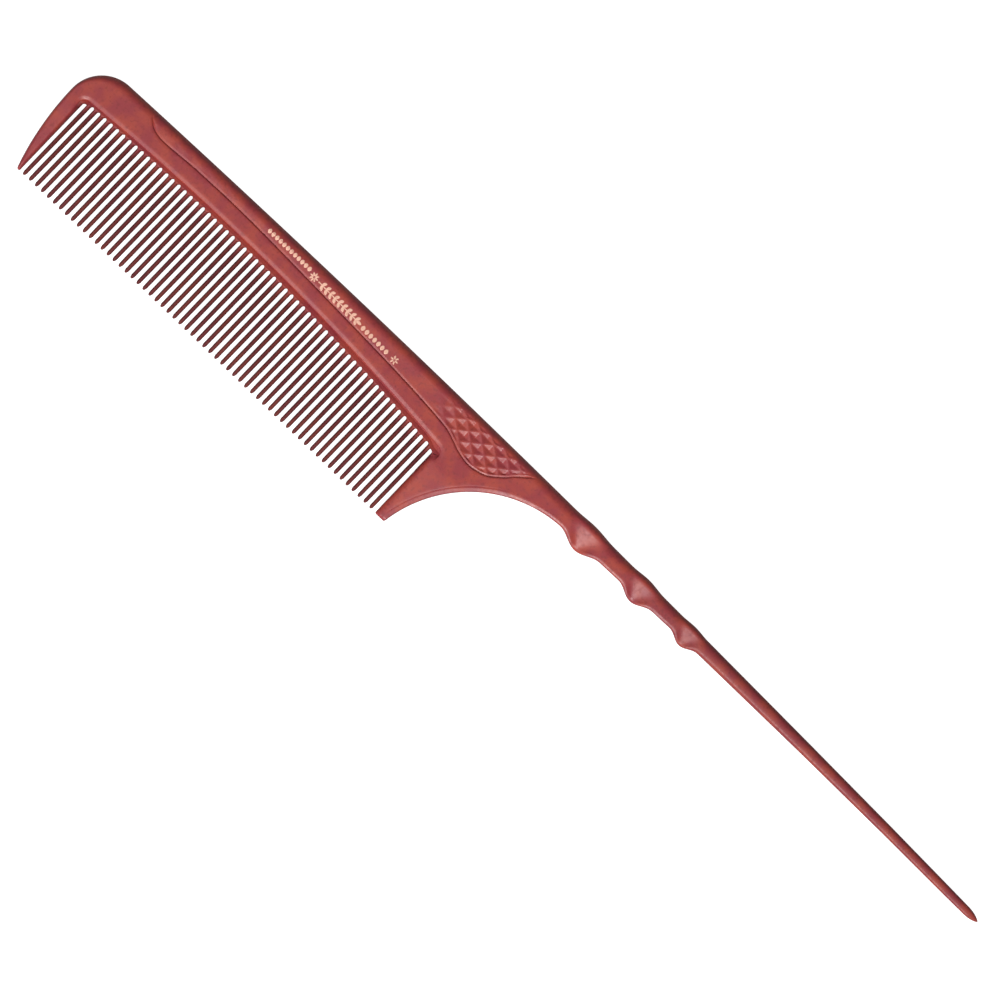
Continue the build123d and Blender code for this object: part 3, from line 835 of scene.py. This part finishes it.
def finish_tree(tree, geometry, group_out, material):
    """Realizes the instances and sets the material."""
    real = tree.nodes.new("GeometryNodeRealizeInstances")
    paint = tree.nodes.new("GeometryNodeSetMaterial")
    paint.inputs["Material"].default_value = material
    tree.links.new(geometry, real.inputs[0])
    tree.links.new(real.outputs[0], paint.inputs["Geometry"])
    tree.links.new(paint.outputs[0], group_out.inputs[0])


def apply_tree(obj, tree, values):
    """Runs the tree on the object with the given inputs and keeps the result as a plain mesh."""
    modifier = obj.modifiers.new(tree.name, "NODES")
    modifier.node_group = tree
    for item in tree.interface.items_tree:
        if item.item_type == "SOCKET" and item.in_out == "INPUT" and item.name in values:
            modifier[item.identifier] = values[item.name]
    depsgraph = bpy.context.evaluated_depsgraph_get()
    result = obj.evaluated_get(depsgraph)
    mesh = bpy.data.meshes.new_from_object(result, preserve_all_data_layers=True, depsgraph=depsgraph)
    source = obj.data
    obj.modifiers.clear()
    obj.data = mesh
    mesh.name = obj.name
    bpy.data.meshes.remove(source)
    return obj


def knurl_tree(material):
    """Presses diamond pits into both faces where the knurl mask is set."""
    tree, group_in, group_out = geometry_tree("knurl_pits", [
        ("Pitch X", "NodeSocketFloat", 0.00347),
        ("Pitch H", "NodeSocketFloat", 0.00266),
        ("First X", "NodeSocketFloat", 0.0),
        ("First Y", "NodeSocketFloat", 0.0),
        ("Depth", "NodeSocketFloat", 0.00025),
        ("Land", "NodeSocketFloat", 0.1),
        ("Middle Z", "NodeSocketFloat", 0.0),
    ])
    pick, number = group_in.outputs, partial(compute, tree)
    x, y, z = position_parts(tree)
    mask = tree.nodes.new("GeometryNodeInputNamedAttribute")
    mask.data_type = "FLOAT"
    mask.inputs["Name"].default_value = "knurl"
    across = number("DIVIDE", number("SUBTRACT", x, pick["First X"]), pick["Pitch X"])
    along = number("DIVIDE", number("SUBTRACT", y, pick["First Y"]), pick["Pitch H"])
    # distance from the nearest line of each of the two slanted sets
    gaps = []
    for operation in ("ADD", "SUBTRACT"):
        line = number(operation, across, along)
        gaps.append(number("ABSOLUTE", number("SUBTRACT", line, number("ROUND", line))))
    away = number("MULTIPLY", number("MAXIMUM", *gaps), 2.0)
    pit = ramp_between(tree, away, number("SUBTRACT", 1.0, pick["Land"]), 0.05, smooth=False)
    side = number("SIGN", number("SUBTRACT", z, pick["Middle Z"]))
    sink = number("MULTIPLY", number("MULTIPLY", pit, mask.outputs["Attribute"]), pick["Depth"])
    offset = vector(tree, z=number("MULTIPLY", number("MULTIPLY", sink, side), -1.0))
    press = tree.nodes.new("GeometryNodeSetPosition")
    tree.links.new(pick["Geometry"], press.inputs["Geometry"])
    tree.links.new(offset, press.inputs["Offset"])
    finish_tree(tree, press.outputs[0], group_out, material)
    return tree


def tooth_tree(material):
    """Repeats a tooth along the comb and bends the row to the line of the slot tops."""
    tree, group_in, group_out = geometry_tree("tooth_row", [
        ("Teeth", "NodeSocketInt", 59),
        ("Pitch", "NodeSocketFloat", 0.00155),
        ("First X", "NodeSocketFloat", 0.0),
        ("Base Y", "NodeSocketFloat", 0.0),
        ("Slot Radius", "NodeSocketFloat", 0.59),
        ("Apex X", "NodeSocketFloat", 0.0),
        ("Apex Height", "NodeSocketFloat", 0.01907),
        ("End Drop", "NodeSocketFloat", 0.0005),
        ("Buried Height", "NodeSocketFloat", 0.012),
    ])
    pick, number = group_in.outputs, partial(compute, tree)
    teeth, pitch, first, buried = pick["Teeth"], pick["Pitch"], pick["First X"], pick["Buried Height"]
    last = number("ADD", first, number("MULTIPLY", pitch, number("SUBTRACT", teeth, 1.0)))
    # one more at each end is buried in the guard tooth and carries the end of the web
    start = vector(tree, number("SUBTRACT", first, pitch))
    copies = repeat_along(tree, pick["Geometry"], number("ADD", teeth, 2.0), start, vector(tree, pitch))
    real = tree.nodes.new("GeometryNodeRealizeInstances")
    tree.links.new(copies, real.inputs[0])
    x, y, z = position_parts(tree)

    # the slot tops follow an arc, and the first and the last lie a little lower
    radius = pick["Slot Radius"]
    away = number("SUBTRACT", x, pick["Apex X"])
    inside = number("SUBTRACT", number("MULTIPLY", radius, radius), number("MULTIPLY", away, away))
    sag = number("SUBTRACT", radius, number("SQRT", inside))
    half_pitch = number("MULTIPLY", pitch, 0.5)
    before = ramp_between(tree, x, first, number("SUBTRACT", first, half_pitch))
    after = ramp_between(tree, x, last, number("ADD", last, half_pitch))
    drop = number("MULTIPLY", number("ADD", before, after), pick["End Drop"])
    top = number("SUBTRACT", number("SUBTRACT", pick["Apex Height"], sag), drop)
    height = number("SUBTRACT", y, pick["Base Y"])
    scaled = number("MULTIPLY", height, number("DIVIDE", top, pick["Apex Height"]))

    # the two buried ones are squeezed up into the guard teeth
    over = number("MULTIPLY", number("SUBTRACT", scaled, buried), 0.1)
    squeezed = number("MAXIMUM", scaled, number("ADD", buried, over))
    margin = number("MULTIPLY", pitch, 0.65)
    ahead = number("LESS_THAN", x, number("SUBTRACT", first, margin))
    behind = number("GREATER_THAN", x, number("ADD", last, margin))
    rise = number("MULTIPLY", number("SUBTRACT", squeezed, scaled), number("MAXIMUM", ahead, behind))
    final_y = number("ADD", number("ADD", scaled, rise), pick["Base Y"])
    bend = tree.nodes.new("GeometryNodeSetPosition")
    tree.links.new(real.outputs[0], bend.inputs["Geometry"])
    tree.links.new(vector(tree, x, final_y, z), bend.inputs["Position"])
    finish_tree(tree, bend.outputs[0], group_out, material)
    return tree


def row_tree(material):
    """Repeats a foil shape along a straight row."""
    tree, group_in, group_out = geometry_tree("foil_row", [
        ("Count", "NodeSocketInt", 10),
        ("Start", "NodeSocketVector", (0.0, 0.0, 0.0)),
        ("Step", "NodeSocketVector", (0.001, 0.0, 0.0)),
    ])
    pick = group_in.outputs
    copies = repeat_along(tree, pick["Geometry"], pick["Count"], pick["Start"], pick["Step"])
    finish_tree(tree, copies, group_out, material)
    return tree


def mottle_group():
    """Shared look of moulded plastic: two colours in soft clouds, dark specks, and a fine grain."""
    tree = bpy.data.node_groups.new("mottled_plastic", "ShaderNodeTree")
    for name, kind, value in (
        ("Warm", "NodeSocketColor", (0.4, 0.08, 0.06, 1)),
        ("Cool", "NodeSocketColor", (0.35, 0.06, 0.07, 1)),
        ("Dark", "NodeSocketColor", (0.2, 0.03, 0.03, 1)),
        ("Clouds", "NodeSocketFloat", 260.0),
        ("Specks", "NodeSocketFloat", 1500.0),
        ("Grain", "NodeSocketFloat", 9000.0),
    ):
        tree.interface.new_socket(name, in_out="INPUT", socket_type=kind).default_value = value
    for name, kind in (("Color", "Color"), ("Roughness", "Float"), ("Height", "Float")):
        tree.interface.new_socket(name, in_out="OUTPUT", socket_type="NodeSocket" + kind)
    group_in = tree.nodes.new("NodeGroupInput")
    group_out = tree.nodes.new("NodeGroupOutput")
    where = tree.nodes.new("ShaderNodeTexCoord")

    def noise(scale, detail, seed_shift=0.0):
        node = tree.nodes.new("ShaderNodeTexNoise")
        node.noise_dimensions = "4D"
        node.inputs["W"].default_value = seed_shift
        node.inputs["Detail"].default_value = detail
        tree.links.new(where.outputs["Object"], node.inputs["Vector"])
        wire(tree, scale, node.inputs["Scale"])
        return node.outputs["Fac"]

    def mix(factor, first, second):
        node = tree.nodes.new("ShaderNodeMix")
        node.data_type = "RGBA"
        for source, socket in ((factor, 0), (first, 6), (second, 7)):
            wire(tree, source, node.inputs[socket])
        return node.outputs[2]

    pick = group_in.outputs
    clouds = noise(pick["Clouds"], 3.0)
    specks = noise(pick["Specks"], 2.0, 3.0)
    grain = noise(pick["Grain"], 2.0, 7.0)
    tone = mix(ramp_between(tree, clouds, 0.36, 0.64), pick["Cool"], pick["Warm"])
    tone = mix(ramp_between(tree, specks, 0.5, 0.72, 0.0, 0.42), tone, pick["Dark"])
    height = compute(tree, "ADD", grain, compute(tree, "MULTIPLY", specks, 0.6))
    tree.links.new(tone, group_out.inputs["Color"])
    tree.links.new(ramp_between(tree, specks, 0.3, 0.7, 0.37, 0.47), group_out.inputs["Roughness"])
    tree.links.new(height, group_out.inputs["Height"])
    return tree


def shader(name):
    material = bpy.data.materials.new(name)
    material.use_nodes = True
    tree = material.node_tree
    principled = next(n for n in tree.nodes if n.type == "BSDF_PRINCIPLED")
    return material, tree, principled


def mottle(tree, warm, cool, dark):
    """The shared look, placed in a material with its own colours."""
    group = tree.nodes.new("ShaderNodeGroup")
    group.node_tree = bpy.data.node_groups.get("mottled_plastic") or mottle_group()
    for name, colour in (("Warm", warm), ("Cool", cool), ("Dark", dark)):
        group.inputs[name].default_value = (*colour, 1)
    return group


def plastic(s):
    """Satin brick red plastic with faint warm and cool clouds, and painted shade: the colour is darker where
    the mesh is marked thin, on the teeth and along the tail.
    """
    material, tree, principled = shader("moulded_plastic")
    group = mottle(tree, s.warm, s.cool, s.dark)
    thin = tree.nodes.new("ShaderNodeAttribute")
    thin.attribute_name = "thin"
    scale = tree.nodes.new("ShaderNodeVectorMath")
    scale.operation = "SCALE"
    tree.links.new(group.outputs["Color"], scale.inputs[0])
    # painted shade: the colour is scaled down towards the tooth shade where the mask thin is set
    shade = ramp_between(tree, thin.outputs["Fac"], 0.0, 1.0, 1.0, s.tooth_shade, False)
    tree.links.new(shade, scale.inputs["Scale"])
    tree.links.new(scale.outputs[0], principled.inputs["Base Color"])
    rougher = compute(tree, "MULTIPLY", thin.outputs["Fac"], 0.3)
    rough = compute(tree, "ADD", group.outputs["Roughness"], rougher)
    tree.links.new(rough, principled.inputs["Roughness"])
    bump = tree.nodes.new("ShaderNodeBump")
    bump.inputs["Strength"].default_value = 0.35
    bump.inputs["Distance"].default_value = 0.02 * MM
    tree.links.new(group.outputs["Height"], bump.inputs["Height"])
    tree.links.new(bump.outputs[0], principled.inputs["Normal"])
    principled.inputs["Specular IOR Level"].default_value = 0.42
    return material


def foil(s):
    """Pale hot foil, rubbed through to the plastic in places."""
    material, tree, principled = shader("hot_foil")
    group = mottle(tree, s.foil_light, s.foil_light, s.warm)
    group.inputs["Clouds"].default_value = 900.0
    group.inputs["Specks"].default_value = 2600.0
    tree.links.new(group.outputs["Color"], principled.inputs["Base Color"])
    tree.links.new(group.outputs["Roughness"], principled.inputs["Roughness"])
    principled.inputs["Metallic"].default_value = 0.35
    return material


# ---- settings ----


class CombBodySettings(bpy.types.PropertyGroup):
    """Rounds and relief of the moulding."""

    back_round: FloatProperty(
        name="Back Round", description="Round of the back edge", default=1.9 * MM, **LENGTH
    )
    nose_round: FloatProperty(
        name="Nose Round", description="Round of the nose front", default=0.8 * MM, **LENGTH
    )
    heel_round: FloatProperty(
        name="Heel Round", description="Round of the hollow heel", default=0.9 * MM, **LENGTH
    )
    lip_round: FloatProperty(
        name="Lip Round", description="Width of the rounded lip above the web", default=0.85 * MM, **LENGTH
    )
    panel_depth: FloatProperty(
        name="Panel Depth", description="Depth of the panel at its groove", default=0.16 * MM, **LENGTH
    )
    knurl_pitch_x: FloatProperty(
        name="Knurl Pitch Along", description="Distance between pits in a row", default=3.47 * MM, **LENGTH
    )
    knurl_pitch_h: FloatProperty(
        name="Knurl Pitch Across", description="Distance between like rows of pits",
        default=2.68 * MM, **LENGTH,
    )
    knurl_x: FloatProperty(
        name="Knurl Start Along", description="A pit's distance from the nose", default=103.04 * MM, **LENGTH
    )
    knurl_h: FloatProperty(
        name="Knurl Start Across", description="A pit's height over the tooth tips",
        default=23.19 * MM, **LENGTH,
    )
    knurl_depth: FloatProperty(name="Knurl Depth", description="Depth of a pit", default=0.4 * MM, **LENGTH)
    knurl_cuts: IntProperty(
        name="Knurl Cuts", description="Mesh steps in one knurl pitch", default=24, min=8, max=40
    )


class ToothRowSettings(bpy.types.PropertyGroup):
    """Spacing of the fine teeth."""

    count: IntProperty(name="Teeth", description="Number of fine teeth", default=59, min=1, max=200)
    pitch: FloatProperty(
        name="Pitch", description="Distance between teeth", default=TOOTH_PITCH * MM, **LENGTH
    )
    first_x: FloatProperty(
        name="First Tooth", description="Distance of the first tooth from the nose",
        default=4.595 * MM, **LENGTH,
    )
    slot_radius: FloatProperty(
        name="Slot Line Radius", description="Radius of the line of slot tops", default=590.0 * MM, **LENGTH
    )
    apex_x: FloatProperty(
        name="Slot Line Apex", description="Where the line of slot tops is highest",
        default=38.0 * MM, **LENGTH,
    )
    apex_h: FloatProperty(
        name="Slot Top Height", description="Greatest height of a slot", default=SLOT_TOP * MM, **LENGTH
    )
    end_drop: FloatProperty(
        name="End Slot Drop", description="How much shorter the first and last slots are",
        default=0.5 * MM, **LENGTH,
    )


class FinishSettings(bpy.types.PropertyGroup):
    """Colours of the plastic and the foil."""

    warm: FloatVectorProperty(
        name="Warm Red", description="Warmer cloud colour of the plastic",
        default=(0.372, 0.056, 0.040), subtype="COLOR", size=3,
    )
    cool: FloatVectorProperty(
        name="Cool Red", description="Cooler cloud colour of the plastic",
        default=(0.295, 0.038, 0.045), subtype="COLOR", size=3,
    )
    dark: FloatVectorProperty(
        name="Dark Red", description="Speck colour of the plastic",
        default=(0.16, 0.018, 0.02), subtype="COLOR", size=3,
    )
    # painted shade: the brightness the plastic colour is scaled to on the teeth, and in part along the tail
    tooth_shade: FloatProperty(
        name="Tooth Shade", description="Brightness of the thin teeth beside the body",
        default=0.42, min=0.0, max=1.0,
    )
    foil_light: FloatVectorProperty(
        name="Foil", description="Colour of the foil", default=(0.80, 0.46, 0.34), subtype="COLOR", size=3
    )
    foil_lift: FloatProperty(
        name="Foil Thickness", description="Thickness of the foil over the face", default=0.014 * MM, **LENGTH
    )


class StageSettings(bpy.types.PropertyGroup):
    """Camera and light."""

    turn: FloatProperty(
        name="Camera Turn", description="Turn of the camera about the vertical",
        default=math.radians(43.9), unit="ROTATION", subtype="ANGLE",
    )
    field: FloatProperty(
        name="Field Width", description="Width seen at the comb", default=186.46 * MM, **LENGTH
    )
    lens: FloatProperty(name="Lens", description="Focal length in millimetres", default=150.0, min=20.0)
    key_power: FloatProperty(
        name="Key Power", description="Power of the key light in watts", default=9.5, min=0.0, unit="POWER"
    )
    fill_power: FloatProperty(
        name="Fill Power", description="Power of the fill light in watts", default=1.5, min=0.0, unit="POWER"
    )
    world: FloatProperty(name="World", description="Strength of the surrounding light", default=0.17, min=0.0)


def new_piece(mesh):
    obj = bpy.data.objects.new(mesh.name, mesh)
    bpy.context.scene.collection.objects.link(obj)
    return obj


def hand_over(obj, slot, *nodes):
    """Fixes the piece to the comb in place of its CAD nodes."""
    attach(obj, "root")
    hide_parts(*nodes)


def shared_material(name, make, s):
    return bpy.data.materials.get(name) or make(s)


def white_floor():
    """A floor lit to white for the camera alone, so that it doesn't light the comb from below."""
    mesh = bpy.data.meshes.new("floor")
    corners = ((-1, -1), (1, -1), (1, 1), (-1, 1))
    points = [(x * FLOOR_HALF, y * FLOOR_HALF, LOW.z - FLOOR_GAP) for x, y in corners]
    mesh.from_pydata(points, [], [(0, 1, 2, 3)])
    material, tree, principled = shader("floor_white")
    principled.inputs["Base Color"].default_value = (0.4, 0.4, 0.4, 1)
    principled.inputs["Roughness"].default_value = 0.9
    principled.inputs["Emission Color"].default_value = (1, 1, 1, 1)
    path = tree.nodes.new("ShaderNodeLightPath")
    tree.links.new(path.outputs["Is Camera Ray"], principled.inputs["Emission Strength"])
    mesh.materials.append(material)
    return new_piece(mesh)


def lamp(name, target, spot, width, power):
    """A square light that faces the target, from the spot beside it."""
    x, y, height = spot
    data = bpy.data.lights.new(name, "AREA")
    data.size = width
    data.energy = power
    light = bpy.data.objects.new(name, data)
    light.location = (target.x + x, target.y + y, height)
    light.rotation_euler = (target - light.location).to_track_quat("-Z", "Y").to_euler()
    bpy.context.scene.collection.objects.link(light)
    return light


def studio_world(strength):
    """Soft light from all round, which the camera sees as white."""
    world = bpy.data.worlds.new("studio")
    world.use_nodes = True
    tree = world.node_tree
    background = tree.nodes["Background"]
    background.inputs["Color"].default_value = (1, 1, 1, 1)
    path = tree.nodes.new("ShaderNodeLightPath")
    shown = ramp_between(tree, path.outputs["Is Camera Ray"], 0.0, 1.0, strength, 1.0, False)
    tree.links.new(shown, background.inputs["Strength"])
    return world


class COMB_OT_body(bpy.types.Operator):
    """Build the moulding with its panel, lip, guard teeth, knurled grip, finger rests and tail"""

    bl_idname = "comb.body"
    bl_label = "Build Comb Body"

    def execute(self, context):
        s = context.scene.comb_body
        obj = new_piece(body_mesh(s))
        obj.data.polygons.foreach_set("use_smooth", [True] * len(obj.data.polygons))
        tree = knurl_tree(shared_material("moulded_plastic", plastic, context.scene.comb_finish))
        apply_tree(obj, tree, {
            "Pitch X": s.knurl_pitch_x, "Pitch H": s.knurl_pitch_h, "First X": LOW.x + s.knurl_x,
            "First Y": LOW.y + s.knurl_h, "Depth": s.knurl_depth, "Land": KNURL_LAND, "Middle Z": MID_Z,
        })
        obj.data.set_sharp_from_angle(angle=math.radians(40))
        hand_over(obj, "comb_plastic", "back_spine", "nose_guard_tooth", "heel_guard_tooth", "neck",
                  "grip_knurl_front", "grip_knurl_back", "finger_rest_front", "finger_rest_middle",
                  "finger_rest_rear", "tail_shaft", "tail_tip")
        return {"FINISHED"}


class COMB_OT_teeth(bpy.types.Operator):
    """Build the row of fine teeth with the thin web that they spring from"""

    bl_idname = "comb.teeth"
    bl_label = "Build Fine Teeth"

    def execute(self, context):
        s = context.scene.comb_teeth
        obj = new_piece(tooth_mesh())
        tree = tooth_tree(shared_material("moulded_plastic", plastic, context.scene.comb_finish))
        apply_tree(obj, tree, {
            "Teeth": s.count, "Pitch": s.pitch, "First X": LOW.x + s.first_x, "Base Y": LOW.y,
            "Slot Radius": s.slot_radius, "Apex X": LOW.x + s.apex_x, "Apex Height": s.apex_h,
            "End Drop": s.end_drop, "Buried Height": TOOTH_BURIED * MM,
        })
        hand_over(obj, "comb_plastic", "fine_teeth", "tooth_web")
        return {"FINISHED"}


class COMB_OT_foil(bpy.types.Operator):
    """Build the foil ornament: two rows of plain leaves, and a leaf sprig with rosettes"""

    bl_idname = "comb.foil"
    bl_label = "Build Foil Ornament"

    def execute(self, context):
        s = context.scene.comb_body
        finish = context.scene.comb_finish
        material = shared_material("hot_foil", foil, finish)
        lift = finish.foil_lift / MM
        tree = row_tree(material)
        for name, first, step, count, size in FOIL_ROWS:
            bead = FoilSheet(lift)
            bead.leaf(0, 0, *size)
            values = {"Count": count, "Start": (*first, 0.0), "Step": (*step, 0.0)}
            obj = apply_tree(new_piece(bead.mesh(name)), tree, values)
            lay_on_face(obj.data, s)
            hand_over(obj, "foil", "foil_mark")
        obj = new_piece(sprig(lift).mesh("foil_vine"))
        lay_on_face(obj.data, s)
        obj.data.materials.append(material)
        hand_over(obj, "foil", "foil_mark")
        return {"FINISHED"}


class COMB_OT_stage(bpy.types.Operator):
    """Set the floor, the lights and the camera"""

    bl_idname = "comb.stage"
    bl_label = "Set Stage"

    def execute(self, context):
        s = context.scene.comb_stage
        scene = context.scene
        middle = (LOW + HIGH) / 2
        lamps = [
            lamp("key", middle, KEY_SPOT, KEY_WIDTH, s.key_power),
            lamp("fill", middle, FILL_SPOT, FILL_WIDTH, s.fill_power),
        ]
        scene.world = studio_world(s.world)
        scene.view_settings.view_transform = "Standard"
        data = bpy.data.cameras.new("camera")
        data.lens = s.lens
        data.sensor_width = SENSOR_WIDTH
        camera = bpy.data.objects.new("camera", data)
        camera.location = (CAMERA_X, CAMERA_Y, HIGH.z + s.field * s.lens / SENSOR_WIDTH)
        camera.rotation_euler = (0, 0, s.turn)
        scene.collection.objects.link(camera)
        scene.camera = camera
        white_floor()
        return {"FINISHED"}


class COMB_PT_panel(bpy.types.Panel):
    """Lists what the add-on builds"""

    bl_idname = "COMB_PT_panel"
    bl_label = "Rat Tail Comb"
    bl_space_type = "VIEW_3D"
    bl_region_type = "UI"
    bl_category = "Comb"

    def draw(self, context):
        scene = context.scene
        for settings, operator in ((scene.comb_body, "comb.body"), (scene.comb_teeth, "comb.teeth"),
                                   (scene.comb_finish, "comb.foil"), (scene.comb_stage, "comb.stage")):
            box = self.layout.box()
            for name in settings.__annotations__:
                box.prop(settings, name)
            box.operator(operator)


SETTINGS = {
    "comb_body": CombBodySettings,
    "comb_teeth": ToothRowSettings,
    "comb_finish": FinishSettings,
    "comb_stage": StageSettings,
}
OPERATORS = (COMB_OT_body, COMB_OT_teeth, COMB_OT_foil, COMB_OT_stage)


def register():
    for name, group in SETTINGS.items():
        bpy.utils.register_class(group)
        setattr(bpy.types.Scene, name, PointerProperty(type=group))
    for operator in OPERATORS:
        bpy.utils.register_class(operator)
    bpy.utils.register_class(COMB_PT_panel)


def unregister():
    bpy.utils.unregister_class(COMB_PT_panel)
    for operator in reversed(OPERATORS):
        bpy.utils.unregister_class(operator)
    for name, group in SETTINGS.items():
        delattr(bpy.types.Scene, name)
        bpy.utils.unregister_class(group)


def main():
    register()
    for step in (bpy.ops.comb.body, bpy.ops.comb.teeth, bpy.ops.comb.foil, bpy.ops.comb.stage):
        if step() != {"FINISHED"}:
            raise RuntimeError(f"{step} did not finish")


if __name__ == "__main__":
    main()
